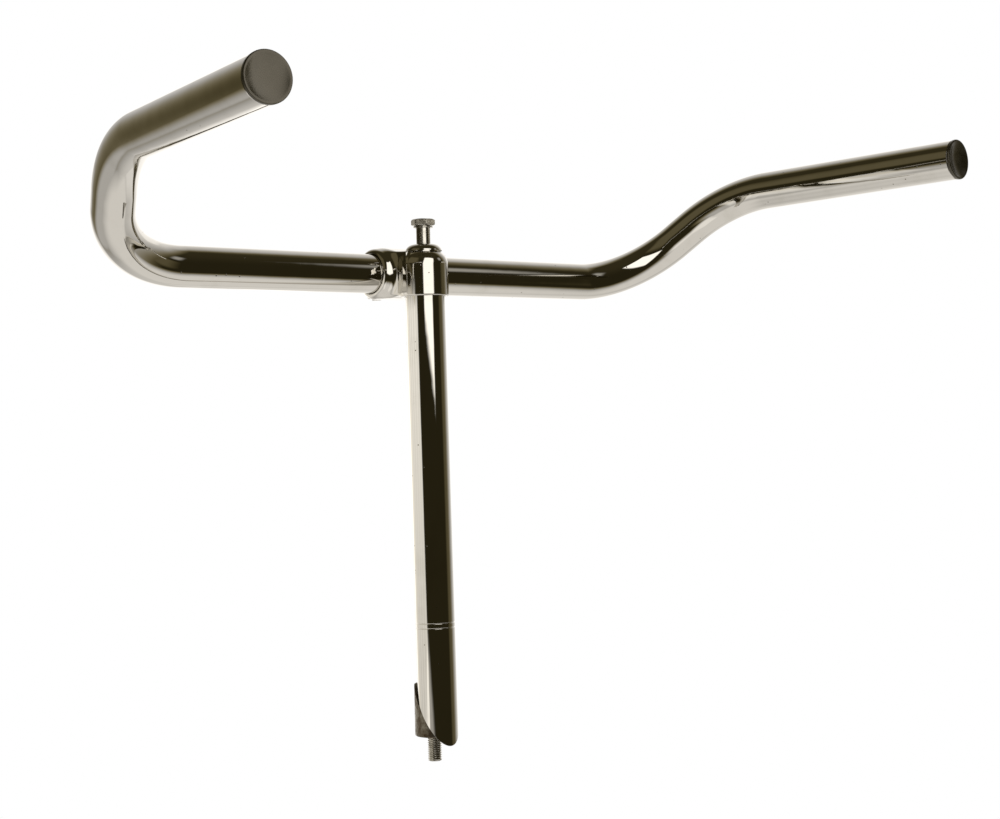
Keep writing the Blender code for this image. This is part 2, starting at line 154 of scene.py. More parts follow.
# Binder
BINDER_PLACE = Vector(JOINTS["nut_turn"]["pos_m"])
M6_RADIUS = 0.0030
M6_PITCH = 0.0010
M6_ACROSS_FLATS = 0.0100
M6_CLEARANCE_RADIUS = 0.0034
BINDER_HEAD_HEIGHT = 0.0038
BINDER_PLAIN_LENGTH = 0.010  # from the head to the thread
BINDER_WASHER_RADIUS = 0.0058
KEY_WIDTH = 0.0016
KEY_DEPTH = 0.0012
KEY_OFFSET = 0.0045

# Hexagons
HEX_FACE_RADIUS = 0.475  # of the width across flats
HEX_CHAMFER_ANGLE = math.radians(30)
HEX_SIDE_STEPS = 8
HEX_SEAT_SHARE = 0.9  # of the face's radius, under a head

# Threads
THREAD_DEPTH = 0.6  # of the pitch
THREAD_ROWS = 10  # rows of vertices for each turn
THREAD_SIDES = 48
THREAD_FLAT = 0.125  # how much of the flank is flattened, at the crest and at the root
THREAD_RUN_OUT = 0.6  # of the pitch, at the foot
THREAD_FOOT_DEPTH = 0.35  # of the full depth, at the foot

# Meshes
TURNED_SIDES = 96
SHARP_ANGLE = math.radians(40)
ROUND_STEPS = 6
MERGE_DISTANCE = 1e-8
SOFT_EDGE_WIDTH = 0.00018
SOFT_EDGE_STEPS = 2
SOFT_EDGE_ANGLE = math.radians(20)


# Mesh helpers


def add_object(name, mesh):
    obj = bpy.data.objects.new(name, mesh)
    bpy.context.scene.collection.objects.link(obj)
    return obj


def shade(mesh):
    """Smooth shading that stops at sharp edges."""
    mesh.shade_smooth()
    mesh.set_sharp_from_angle(angle=SHARP_ANGLE)


def smooth_object(name, mesh):
    """A smooth-shaded object whose long flat faces keep their own normals."""
    shade(mesh)
    obj = add_object(name, mesh)
    weighted = obj.modifiers.new("flat faces stay flat", "WEIGHTED_NORMAL")
    weighted.keep_sharp = True
    return obj


def ring_faces(rows, columns, closed):
    """Quads between successive rows of vertices; each row is a closed ring."""
    faces = []
    pairs = rows if closed else rows - 1
    for row in range(pairs):
        below = row * columns
        above = ((row + 1) % rows) * columns
        for i in range(columns):
            j = (i + 1) % columns
            faces.append((below + i, below + j, above + j, above + i))
    return faces


def solid(name, rows, closed):
    """A body from rows of vertices: its last row meets its first if closed, or both are capped."""
    columns = len(rows[0])
    verts = [tuple(v) for row in rows for v in row]
    faces = ring_faces(len(rows), columns, closed)
    if not closed:
        last = len(verts) - columns
        faces += [tuple(range(columns)), tuple(range(last, last + columns))]
    mesh = bpy.data.meshes.new(name)
    mesh.from_pydata(verts, [], faces)
    bm = bmesh.new()
    bm.from_mesh(mesh)
    bmesh.ops.remove_doubles(bm, verts=bm.verts, dist=MERGE_DISTANCE)
    bmesh.ops.dissolve_degenerate(bm, edges=bm.edges, dist=MERGE_DISTANCE)
    bmesh.ops.recalc_face_normals(bm, faces=bm.faces)
    bm.to_mesh(mesh)
    bm.free()
    return smooth_object(name, mesh)


def arc(centre, radius, start, end, steps=ROUND_STEPS):
    """Points of an arc in a plane; the angles are in degrees."""
    angles = np.radians(np.linspace(start, end, steps + 1))
    return [(centre[0] + radius * math.cos(a), centre[1] + radius * math.sin(a)) for a in angles]


def circle(sides):
    angles = np.arange(sides) * math.tau / sides
    return np.column_stack([np.cos(angles), np.sin(angles)])


def level(around, radius, height):
    """A level ring of vertices about Z."""
    return [(radius * x, radius * y, height) for x, y in around]


def turned(name, outline, sides, closed=False):
    """Turns (radius, height) points about Z; a closed outline makes a ring, an open one a body."""
    around = circle(sides)
    return solid(name, [level(around, radius, height) for radius, height in outline], closed)


def place(obj, origin, axis=Z):
    """Stands a piece made about Z on an axis in the frame, and applies that to its mesh."""
    turn = Z.rotation_difference(Vector(axis))
    obj.data.transform(Matrix.Translation(origin) @ turn.to_matrix().to_4x4())
    return obj


def along_expander(mount):
    """Distance along the expander's axis from its pivot to a mount."""
    return (Vector(MOUNTS[mount]["pos_m"]) - EXPANDER_PIVOT).dot(EXPANDER_AXIS)


def height_on(node, end, radius):
    """Distance along the expander's axis to a node's top (1) or bottom (0) disc of that radius."""
    tilt = radius * abs(EXPANDER_AXIS.y)
    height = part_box(node)[end].z + (-tilt if end else tilt)
    return (height - EXPANDER_PIVOT.z) / EXPANDER_AXIS.z


def hand_over(obj, body, slot, finish, *nodes):
    """Gives a piece its finish and its body, and hides the CAD nodes it stands for. The slot
    argument is not used.
    """
    obj.data.materials.append(finish)
    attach(obj, body)
    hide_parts(*nodes)
    return obj


# Node helpers


class Nodes:
    """A node tree with short calls for the arithmetic and textures used here."""

    def __init__(self, tree):
        self.tree = tree

    def add(self, kind, **inputs):
        node = self.tree.nodes.new(kind)
        for name, value in inputs.items():
            self.feed(node.inputs[name.replace("_", " ")], value)
        return node

    def feed(self, socket, value):
        if isinstance(value, bpy.types.NodeSocket):
            self.tree.links.new(value, socket)
        else:
            socket.default_value = value

    def maths(self, operation, first, second=0.0):
        node = self.tree.nodes.new("ShaderNodeMath")
        node.operation = operation
        self.feed(node.inputs[0], first)
        self.feed(node.inputs[1], second)
        return node.outputs[0]

    def step(self, value, low, high, at_low=0.0, at_high=1.0):
        """A smooth ramp from at_low to at_high as value goes from low to high."""
        node = self.tree.nodes.new("ShaderNodeMapRange")
        node.interpolation_type = "SMOOTHSTEP"
        self.feed(node.inputs["Value"], value)
        self.feed(node.inputs["From Min"], low)
        self.feed(node.inputs["From Max"], high)
        self.feed(node.inputs["To Min"], at_low)
        self.feed(node.inputs["To Max"], at_high)
        return node.outputs["Result"]

    def times(self, first, second):
        return self.maths("MULTIPLY", first, second)

    def plus(self, first, second):
        return self.maths("ADD", first, second)

    def window(self, value, rise_from, rise_to, fall_from, fall_to):
        """1 between the rise and the fall, 0 outside them."""
        rise = self.step(value, rise_from, rise_to)
        return self.times(rise, self.step(value, fall_from, fall_to, at_low=1.0, at_high=0.0))

    def noise(self, place, scale, detail=2.0, roughness=0.5):
        settings = {"Scale": scale, "Detail": detail, "Roughness": roughness}
        return self.add("ShaderNodeTexNoise", Vector=place, **settings).outputs["Fac"]

    def stretched(self, place, scale, rotation=(0, 0, 0)):
        node = self.add("ShaderNodeMapping", Vector=place)
        node.inputs["Scale"].default_value = scale
        node.inputs["Rotation"].default_value = rotation
        return node.outputs["Vector"]

    def blend(self, factor, first, second):
        """Mixes two colours."""
        node = self.tree.nodes.new("ShaderNodeMix")
        node.data_type = "RGBA"
        self.feed(node.inputs["Factor"], factor)
        self.feed(node.inputs[6], first)
        self.feed(node.inputs[7], second)
        return node.outputs[2]

    def bump(self, height, distance, strength=1.0, normal=None):
        node = self.add("ShaderNodeBump", Height=height, Distance=distance, Strength=strength)
        if normal:
            self.feed(node.inputs["Normal"], normal)
        return node.outputs["Normal"]


def new_material(name, metallic):
    """A material with its node helper, its Principled shader and the object-space coordinates."""
    made = bpy.data.materials.new(name)
    made.use_nodes = True
    nodes = Nodes(made.node_tree)
    shader = made.node_tree.nodes["Principled BSDF"]
    shader.inputs["Metallic"].default_value = metallic
    place_on = nodes.add("ShaderNodeTexCoord").outputs["Object"]
    return made, nodes, shader, place_on


# Finishes: scales are per metre, bump distances are in metres, colours are linear


SCRATCH_DIRECTIONS = ((0.2, 0.5, 0.1), (1.1, 0.3, 0.9), (0.6, 1.3, 2.0))  # radians
SCRATCH_SCALES = (2600, 60, 60)  # across and along a scratch
SCRATCH_LEVEL = 0.70  # of the noise, where a scratch begins when the share is 0
SCRATCH_EDGE = 0.04
PIT_CHOICE = (0.80, 0.82)  # a cell's random value, from which it holds a pit
CHROME_PIT_COLOUR = (0.10, 0.085, 0.06, 1)
BAR_CHROME = {
    "colour": (0.64, 0.62, 0.575, 1), "tired_colour": (0.57, 0.55, 0.50, 1),
    "smooth": 0.02, "haze": 0.05, "waviness": 0.00006,
}
LUG_CHROME = {
    "colour": (0.62, 0.60, 0.555, 1), "tired_colour": (0.54, 0.52, 0.47, 1),
    "smooth": 0.06, "haze": 0.07, "waviness": 0.00008,
}
PLATING_COLOUR = (0.60, 0.58, 0.53, 1)
PLATING_DULL_COLOUR = (0.44, 0.42, 0.37, 1)
PLATING_GRAIN_SCALES = (900, 900, 5000)
OIL_COLOUR = (0.17, 0.155, 0.12, 1)
RUST_COLOUR = (0.085, 0.062, 0.038, 1)
RUST_PIT_COLOUR = (0.03, 0.022, 0.015, 1)
MACHINING_SCALES = (120, 120, 4200)
RUBBER_COLOUR = (0.014, 0.012, 0.006, 1)
DUST_COLOUR = (0.034, 0.030, 0.020, 1)
RUBBER_SPECULAR = 0.75
RUBBER_SPECULAR_TINT = (1.0, 0.92, 0.78, 1)


def scratches(nodes, place_on, share):
    """A mask of fine straight scratches in several directions; share is how much they cover."""
    low = SCRATCH_LEVEL - share
    total = 0.0
    for turn in SCRATCH_DIRECTIONS:
        lines = nodes.noise(nodes.stretched(place_on, SCRATCH_SCALES, turn), scale=1.0, detail=1.0)
        here = nodes.noise(nodes.stretched(place_on, (1, 1, 1), turn), scale=90.0)
        fine = nodes.step(lines, low, low + SCRATCH_EDGE)
        mask = nodes.times(fine, nodes.step(here, low=0.50, high=0.62))
        total = nodes.maths("MAXIMUM", mask, total)
    return total


def specks(nodes, place_on, scale, size):
    """A mask of small round pits; only some of the texture's cells hold one."""
    cells = nodes.add("ShaderNodeTexVoronoi", Vector=place_on, Scale=scale)
    chosen = nodes.step(cells.outputs["Color"], *PIT_CHOICE)
    spot = nodes.step(cells.outputs["Distance"], size / 2, size, at_low=1.0, at_high=0.0)
    return nodes.times(spot, chosen)


def bumps(nodes, shader, *layers):
    """Feeds the shader's normal from (height, distance) layers, each laid over the last."""
    normal = None
    for height, distance in layers:
        normal = nodes.bump(height, distance, normal=normal)
    nodes.feed(shader.inputs["Normal"], normal)


def roughen(nodes, shader, base, *layers):
    """Feeds the shader's roughness: a base, and an amount for each (mask, amount) layer."""
    roughness = base
    for mask, amount in layers:
        roughness = nodes.plus(roughness, nodes.times(mask, amount))
    nodes.feed(shader.inputs["Roughness"], roughness)


def make_chrome(name, colour, tired_colour, smooth, haze, waviness):
    """Old polished chrome: broad polishing waves, hazy patches, hairline scratches and pits."""
    made, nodes, shader, place_on = new_material(name, metallic=1.0)
    patches = nodes.noise(place_on, scale=55.0, detail=4.0, roughness=0.6)
    clouds = nodes.step(patches, low=0.48, high=0.72)
    lines = scratches(nodes, place_on, share=0.008)
    pits = specks(nodes, place_on, scale=330.0, size=0.16)
    waves = nodes.noise(place_on, scale=75.0, detail=1.0)
    tint = nodes.blend(nodes.times(clouds, 0.6), colour, tired_colour)
    nodes.feed(shader.inputs["Base Color"], nodes.blend(pits, tint, CHROME_PIT_COLOUR))
    roughen(nodes, shader, smooth, (clouds, haze), (lines, 0.06), (pits, 0.35))
    scored, pitted = nodes.times(lines, -1.0), nodes.times(pits, -1.0)
    bumps(nodes, shader, (waves, waviness), (scored, 0.0000015), (pitted, 0.00004))
    return made


def make_plated_steel():
    """Bright zinc-plated fasteners: turning marks, dull patches and scratches."""
    made, nodes, shader, place_on = new_material("plated_steel_finish", metallic=1.0)
    patches = nodes.step(nodes.noise(place_on, scale=260.0, detail=4.0), low=0.42, high=0.68)
    grain = nodes.noise(nodes.stretched(place_on, PLATING_GRAIN_SCALES), scale=1.0, detail=2.0)
    lines = scratches(nodes, place_on, share=0.02)
    colour = nodes.blend(patches, PLATING_COLOUR, PLATING_DULL_COLOUR)
    nodes.feed(shader.inputs["Base Color"], colour)
    roughen(nodes, shader, 0.15, (patches, 0.08), (grain, 0.05), (lines, 0.12))
    bumps(nodes, shader, (grain, 0.0000005), (patches, 0.000004))
    return made


def make_raw_steel():
    """The wedge's unplated steel: dark oil film, machining marks and rust-brown blotches."""
    made, nodes, shader, place_on = new_material("raw_steel_finish", metallic=1.0)
    blotches = nodes.noise(place_on, scale=190.0, detail=5.0, roughness=0.65)
    blotches = nodes.step(blotches, low=0.38, high=0.66)
    marks = nodes.noise(nodes.stretched(place_on, MACHINING_SCALES), scale=1.0, detail=2.0)
    pits = specks(nodes, place_on, scale=900.0, size=0.30)
    worn = nodes.blend(blotches, OIL_COLOUR, RUST_COLOUR)
    nodes.feed(shader.inputs["Base Color"], nodes.blend(pits, worn, RUST_PIT_COLOUR))
    roughen(nodes, shader, 0.34, (blotches, 0.22))
    pitted = nodes.times(pits, -1.0)
    bumps(nodes, shader, (marks, 0.00003), (blotches, 0.00004), (pitted, 0.00006))
    return made


def make_rubber():
    """Moulded black rubber: fine grain, greyed and dusty in patches."""
    made, nodes, shader, place_on = new_material("plug_rubber_finish", metallic=0.0)
    grain = nodes.noise(place_on, scale=2600.0, detail=3.0)
    dust = nodes.noise(place_on, scale=120.0, detail=6.0, roughness=0.6)
    dust = nodes.step(dust, low=0.30, high=0.80)
    nodes.feed(shader.inputs["Base Color"], nodes.blend(dust, RUBBER_COLOUR, DUST_COLOUR))
    roughen(nodes, shader, 0.18, (dust, 0.10))
    shader.inputs["Specular IOR Level"].default_value = RUBBER_SPECULAR
    shader.inputs["Specular Tint"].default_value = RUBBER_SPECULAR_TINT
    grained = nodes.bump(grain, distance=0.00003, strength=0.7)
    nodes.feed(shader.inputs["Normal"], grained)
    return made


# Handlebar


def corner_arc(before, corner, after, radius):
    """Stations (point, direction) along the arc that rounds one corner of the centreline."""
    arriving = (corner - before).normalized()
    leaving = (after - corner).normalized()
    angle = arriving.angle(leaving)
    start = corner - arriving * radius * math.tan(angle / 2)
    inward = (leaving - arriving * arriving.dot(leaving)).normalized()
    centre = start + inward * radius
    stations = []
    for step in range(BEND_STEPS + 1):
        turn = angle * step / BEND_STEPS
        point = centre - inward * radius * math.cos(turn) + arriving * radius * math.sin(turn)
        stations.append((point, arriving * math.cos(turn) + inward * math.sin(turn)))
    return stations


def bar_stations():
    """Stations from the bar's left end to its right end, about the bar's own axis."""
    first = Vector((FLAT_HALF, 0, 0))
    second = first + RISER
    end = second + GRIP
    half = corner_arc(Vector((0, 0, 0)), first, second, FIRST_BEND_RADIUS)
    half += corner_arc(first, second, end, SECOND_BEND_RADIUS)
    half.append((end, GRIP.normalized()))
    other = [(Vector((-p.x, p.y, p.z)), Vector((d.x, -d.y, -d.z))) for p, d in reversed(half)]
    return other + half


def tube_rings(stations, radius):
    """Rings of vertices carried along the stations without twist."""
    middle = len(stations) // 2
    sections = [None] * len(stations)
    for order in (range(middle, len(stations)), range(middle - 1, -1, -1)):
        across = Vector((0, 1, 0))
        previous = Vector((1, 0, 0))
        for i in order:
            direction = stations[i][1]
            across = previous.rotation_difference(direction) @ across
            sections[i] = (across.copy(), direction.cross(across))
            previous = direction
    return [
        [point + (a * x + b * y) * radius for x, y in circle(BAR_SIDES)]
        for (point, _), (a, b) in zip(stations, sections)
    ]


def make_handlebar(chrome):
    """The bent tube, open at both ends, its end edges slightly rounded."""
    stations = bar_stations()
    ends = []
    for point, direction, sign in ((*stations[0], 1), (*stations[-1], -1)):
        ends.append((point + direction * sign * BAR_END_ROUND, direction))
    body = [ends[0]] + stations[1:-1] + [ends[1]]
    inner_radius = BAR_RADIUS - BAR_WALL
    rows = tube_rings(body, BAR_RADIUS)
    lips = (BAR_RADIUS - BAR_END_ROUND, inner_radius + BAR_END_ROUND)
    rows += [tube_rings(stations, radius)[-1] for radius in lips]
    rows += reversed(tube_rings(body, inner_radius))
    rows += [tube_rings(stations, radius)[0] for radius in reversed(lips)]
    bar = solid("handlebar_tube", rows, closed=True)
    place(bar, BAR_AXIS)
    return hand_over(bar, "bar", "bar_chrome", chrome, "handlebar")


def make_end_plug(side, rubber):
    """A push-in plug: a rounded rim, a dished face and a ribbed stem inside the tube."""
    stem = PLUG_STEM_RADIUS
    outline = [(stem - PLUG_RIB_HEIGHT, -PLUG_STEM_LENGTH)]
    for rib in range(PLUG_RIBS):
        start = -PLUG_STEM_LENGTH + (rib + PLUG_RIB_START) * PLUG_RIB_PITCH
        outline.append((stem, start))
        outline.append((stem + PLUG_RIB_HEIGHT, start + PLUG_RIB_RISE * PLUG_RIB_PITCH))
        outline.append((stem, start + PLUG_RIB_END * PLUG_RIB_PITCH))
    top = GAP + PLUG_RIM_THICKNESS
    edge = PLUG_RIM_RADIUS - PLUG_RIM_ROUND
    back = PLUG_BACK_CHAMFER
    outline += [(stem, GAP), (PLUG_RIM_RADIUS - back, GAP), (PLUG_RIM_RADIUS, GAP + back)]
    outline += arc((edge, top - PLUG_RIM_ROUND), PLUG_RIM_ROUND, 0, 90)
    for share in np.linspace(1.0, 0.05, PLUG_DISH_STEPS):
        outline.append((PLUG_DISH_RADIUS * share, top - PLUG_DISH_DEPTH * (1 - share**2)))
    name = "left" if side < 0 else "right"
    plug = turned(f"{name}_plug", outline, BAR_SIDES)
    mount = MOUNTS[f"{name}_bar_end"]
    outward = Vector(mount["axis"])
    place(plug, Vector(mount["pos_m"]) - outward * top, outward)
    return hand_over(plug, "bar", "plug_rubber", rubber, f"{name}_end_plug")


# Lug, as a rounded implicit solid


def joined(a, b, radius):
    """Union of two distance fields with a round fillet."""
    near = np.hypot(np.maximum(radius - a, 0), np.maximum(radius - b, 0))
    return np.maximum(radius, np.minimum(a, b)) - near


def common(a, b, radius):
    """Intersection of two distance fields with a round edge."""
    far = np.hypot(np.maximum(radius + a, 0), np.maximum(radius + b, 0))
    return np.minimum(-radius, np.maximum(a, b)) + far


def without(a, b, radius=EDGE_ROUND):
    return common(a, -b, radius)


def lug_distance(p):
    """Signed distance, near the surface, from points to the lug; negative inside."""
    x, y, z = p[..., 0], p[..., 1], p[..., 2]
    from_bar = np.hypot(y - BAR_AXIS.y, z - BAR_AXIS.z)
    from_quill = np.hypot(x, y)
    head = common(from_quill - HEAD_RADIUS, z - HEAD_HEIGHT, HEAD_SHOULDER)
    head = common(head, -z, HEAD_FOOT_ROUND)
    collar = common(from_bar - COLLAR_RADIUS, np.abs(x) - COLLAR_HALF_WIDTH, COLLAR_ROUND)
    neck_top = NECK_TOP + NECK_RISE * np.clip((from_quill - DOME_RADIUS) / NECK_RAMP, 0, 1)
    neck = np.maximum(z - neck_top, NECK_BOTTOM - z)
    neck = common(np.abs(x) - NECK_HALF_WIDTH, neck, NECK_EDGE_ROUND)
    neck = np.maximum(neck, np.maximum(-y, y - BAR_AXIS.y))
    front = BAR_AXIS.y + COLLAR_RADIUS + EAR_LENGTH - EAR_HALF_WIDTH
    plan = np.where(y > front, np.hypot(x, y - front), np.abs(x)) - EAR_HALF_WIDTH
    ears = common(plan, np.abs(z - BAR_AXIS.z) - EAR_HALF_HEIGHT, 2 * EDGE_ROUND)
    ears = np.maximum(ears, BAR_AXIS.y - y)
    body = joined(joined(head, neck, HEAD_FILLET), collar, NECK_FILLET)
    body = joined(body, ears, EAR_FILLET)
    body = np.maximum(body, -z)
    quill_bore = np.maximum(from_quill - QUILL_BORE_RADIUS, z - QUILL_BORE_TOP)
    body = without(body, quill_bore, SEAT_ROUND)
    body = without(body, from_quill - PLUG_BORE_RADIUS)
    body = without(body, from_bar - BAR_BORE_RADIUS)
    slot = np.maximum(np.abs(z - BAR_AXIS.z) - SLOT_WIDTH / 2, BAR_AXIS.y + BAR_RADIUS / 2 - y)
    body = without(body, slot)
    body = without(body, np.hypot(x, y - BINDER_PLACE.y) - M6_CLEARANCE_RADIUS)
    key_top = BAR_AXIS.z + EAR_HALF_HEIGHT - KEY_DEPTH - GAP
    key_y = np.abs(y - BINDER_PLACE.y + KEY_OFFSET) - KEY_WIDTH / 2 - GAP
    key = np.maximum(np.maximum(np.abs(x) - KEY_WIDTH / 2 - GAP, key_y), key_top - z)
    return without(body, key, SEAT_ROUND)


def gradient(field, p, delta=0.00002):
    """Central differences of a distance field at points."""
    parts = []
    for axis in range(3):
        offset = np.zeros(3)
        offset[axis] = delta
        parts.append((field(p + offset) - field(p - offset)) / (2 * delta))
    return np.stack(parts, axis=-1)


def surface_net(field, low, high, voxel):
    """Vertices and quads on a field's zero level, a vertex for each cell the surface crosses."""
    counts = [int(math.ceil((b - a) / voxel)) + 1 for a, b in zip(low, high)]
    ticks = [a + voxel * np.arange(n) for a, n in zip(low, counts)]
    corners = np.stack(np.meshgrid(*ticks, indexing="ij"), axis=-1)
    values = field(corners)
    inside = values < 0
    total = np.zeros([n - 1 for n in counts] + [3])
    hits = np.zeros([n - 1 for n in counts])
    edges = []
    for axis in range(3):
        start = [slice(None)] * 3
        end = [slice(None)] * 3
        start[axis] = slice(0, -1)
        end[axis] = slice(1, None)
        a, b = values[tuple(start)], values[tuple(end)]
        crossed = inside[tuple(start)] != inside[tuple(end)]
        share = np.where(crossed, a / np.where(crossed, a - b, 1), 0)
        point = corners[tuple(start)].copy()
        point[..., axis] += share * voxel
        others = [o for o in range(3) if o != axis]
        for i in (0, 1):
            for j in (0, 1):
                pick = [slice(None)] * 3
                pick[others[0]] = slice(i, counts[others[0]] - 1 + i)
                pick[others[1]] = slice(j, counts[others[1]] - 1 + j)
                here = crossed[tuple(pick)]
                total += point[tuple(pick)] * here[..., None]
                hits += here
        edges.append((axis, others, np.argwhere(crossed), inside[tuple(start)]))
    used = hits > 0
    number = -np.ones(hits.shape, int)
    number[used] = np.arange(used.sum())
    verts = total[used] / hits[used][:, None]
    faces = []
    for axis, others, where, start_inside in edges:
        first, second = others
        keep = (where[:, first] > 0) & (where[:, second] > 0)
        where = where[keep]
        cells = []
        for i, j in ((0, 0), (1, 0), (1, 1), (0, 1)):
            cell = where.copy()
            cell[:, first] -= i
            cell[:, second] -= j
            cells.append(number[tuple(cell.T)])
        quads = np.stack(cells, axis=1)
        outward = start_inside[tuple(where.T)] == (axis != 1)
        quads[~outward] = quads[~outward][:, ::-1]
        faces.append(quads)
    return verts, np.concatenate(faces)


def make_lug(chrome):
    """The cast lug, with filleted neck and ears, meshed from its distance field."""
    margin = 2 * LUG_VOXEL
    low, high = (np.array(corner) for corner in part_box("stem_lug"))
    verts, faces = surface_net(lug_distance, low - margin, high + margin, LUG_VOXEL)
    for _ in range(LUG_PULL_STEPS):
        slope = gradient(lug_distance, verts)
        steepness = np.maximum((slope**2).sum(1), 0.25)  # at an edge the slope may vanish
        verts -= lug_distance(verts)[:, None] * slope / steepness[:, None]
    normals = gradient(lug_distance, verts)
    normals /= np.linalg.norm(normals, axis=1)[:, None]
    mesh = bpy.data.meshes.new("lug")
    mesh.from_pydata(verts.tolist(), [], faces.tolist())
    mesh.shade_smooth()
    mesh.normals_split_custom_set_from_vertices(normals.tolist())
    lug = add_object("lug", mesh)
    return hand_over(lug, "stem", "lug_chrome", chrome, "stem_lug")


# Quill and its top plug


def make_quill(chrome):
    """The quill tube: two insertion-limit rings and a slanted foot with softened edges."""
    low, high = (corner.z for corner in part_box("quill_tube"))
    inner = QUILL_RADIUS - QUILL_WALL
    around = circle(QUILL_SIDES)

    def on_cut(radius, lift):
        cut = [low + CUT_SLOPE * (QUILL_RADIUS + radius * y) + lift for _, y in around]
        return [(radius * x, radius * y, height) for (x, y), height in zip(around, cut)]

    rows = [level(around, QUILL_RADIUS - CUT_ROUND, high)]
    rows.append(level(around, QUILL_RADIUS, high - CUT_ROUND))
    for height in LIMIT_RING_HEIGHTS:
        for turn in np.linspace(0, math.pi, LIMIT_RING_STEPS + 1):
            offset = LIMIT_RING_HALF_WIDTH * math.cos(turn)
            radius = QUILL_RADIUS - LIMIT_RING_DEPTH * math.sin(turn)
            rows.append(level(around, radius, height + offset))
    cut_top = low + 2 * CUT_SLOPE * QUILL_RADIUS + CUT_MARGIN
    rows.append(level(around, QUILL_RADIUS, cut_top))
    rows.append(on_cut(QUILL_RADIUS, CUT_ROUND))
    rows.append(on_cut(QUILL_RADIUS - CUT_ROUND / 3, CUT_ROUND / 4))
    rows.append(on_cut(QUILL_RADIUS - CUT_ROUND, 0))
    rows.append(on_cut(inner + CUT_ROUND, 0))
    rows.append(on_cut(inner, CUT_ROUND))
    rows.append(level(around, inner, cut_top))
    rows.append(level(around, inner, high - CUT_ROUND))
    rows.append(level(around, inner + CUT_ROUND, high))
    quill = solid("quill", rows, closed=True)
    return hand_over(quill, "stem", "bar_chrome", chrome, "quill_tube")


def make_top_plug(chrome):
    """The domed plug in the quill's top, with a flat seat round its bolt hole."""
    low, high = (corner.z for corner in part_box("top_plug"))
    spigot = PLUG_BORE_RADIUS - GAP
    hole = DOME_BOLT_HOLE_RADIUS
    outline = [(hole, low), (spigot, low), (spigot, DOME_BOTTOM)]
    crown = (DOME_RADIUS - DOME_EDGE_ROUND, high - DOME_EDGE_ROUND)
    outline += arc(crown, DOME_EDGE_ROUND, DOME_EDGE_START, 90, DOME_EDGE_STEPS)
    outline += [(hole + EDGE_ROUND, high), (hole, high - EDGE_ROUND)]
    plug = turned("dome", outline, TURNED_SIDES, closed=True)
    return hand_over(plug, "stem", "lug_chrome", chrome, "top_plug")


# Fasteners


def thread_rows(radius, pitch, low, high, around):
    """Rows of a helical thread between two heights, fading in at its top and out at its foot."""
    depth = THREAD_DEPTH * pitch
    share = np.arange(THREAD_SIDES) / THREAD_SIDES
    count = int((high - low) / pitch * THREAD_ROWS)
    rows = []
    for height in np.linspace(high, low, count + 1):
        phase = (height / pitch + share) % 1.0
        flank = np.abs(2 * phase - 1)
        ridge = np.clip(flank * (1 + 2 * THREAD_FLAT) - THREAD_FLAT, 0, 1)
        run_out = (height - low) / (THREAD_RUN_OUT * pitch) + THREAD_FOOT_DEPTH
        fade = min(1.0, (high - height) / pitch, run_out)
        reach = radius - depth * fade * ridge
        rows.append([(r * x, r * y, height) for r, (x, y) in zip(reach, around)])
    return rows


def rod_with_thread(name, radius, pitch, head_side, thread_top, foot):
    """A plain shank from head_side down to thread_top, and a thread on to the chamfered foot."""
    around = circle(THREAD_SIDES)
    chamfer = THREAD_DEPTH * pitch
    rows = [level(around, radius, head_side), level(around, radius, thread_top + pitch)]
    rows += thread_rows(radius, pitch, foot + chamfer / 2, thread_top, around)
    rows.append(level(around, radius - chamfer, foot))
    return solid(name, rows, closed=False)


def hexagon(name, across_flats, bottom, top, hole=0.0, both_ends=True):
    """A hexagonal head or nut with turned-off corners; corners point along X."""
    face = HEX_FACE_RADIUS * across_flats
    outline = []
    for side in range(6):
        for step in range(HEX_SIDE_STEPS):
            angle = math.pi / 3 * (step / HEX_SIDE_STEPS - 0.5)
            turn = math.pi / 3 * (side + 0.5) + angle
            outline.append((0.5 * across_flats / math.cos(angle), turn))
    full = [r for r, _ in outline]
    drops = [(r - face) * math.tan(HEX_CHAMFER_ANGLE) for r in full]
    count = len(outline)

    def ring(radii, heights):
        spots = zip(radii, outline, heights)
        return [(r * math.cos(turn), r * math.sin(turn), h) for r, (_, turn), h in spots]

    def flat(radius, height):
        return ring([radius] * count, [height] * count)

    if both_ends:
        rows = [flat(face, bottom), ring(full, [bottom + d for d in drops])]
    else:
        rows = [flat(HEX_SEAT_SHARE * face, bottom), ring(full, [bottom] * count)]
    rows += [ring(full, [top - d for d in drops]), flat(face, top)]
    if hole:
        rows += [flat(hole, top), flat(hole, bottom)]
    made = solid(name, rows, closed=bool(hole))
    soften(made)
    return made


def soften(obj):
    """Rounds the sharp edges of a hard-surface piece."""
    bevel = obj.modifiers.new("softened edges", "BEVEL")
    bevel.width = SOFT_EDGE_WIDTH
    bevel.segments = SOFT_EDGE_STEPS
    bevel.limit_method = "ANGLE"
    bevel.angle_limit = SOFT_EDGE_ANGLE
    bevel.harden_normals = True
    obj.modifiers.move(len(obj.modifiers) - 1, 0)


def merge(name, *objects):
    """Joins pieces that are one solid into one object, with their modifiers applied."""
    depsgraph = bpy.context.evaluated_depsgraph_get()
    bm = bmesh.new()
    for obj in objects:
        evaluated = obj.evaluated_get(depsgraph)
        mesh = bpy.data.meshes.new_from_object(evaluated)
        bm.from_mesh(mesh)
        bpy.data.meshes.remove(mesh)
        bpy.data.objects.remove(obj, do_unlink=True)
    mesh = bpy.data.meshes.new(name)
    bm.to_mesh(mesh)
    bm.free()
    return smooth_object(name, mesh)


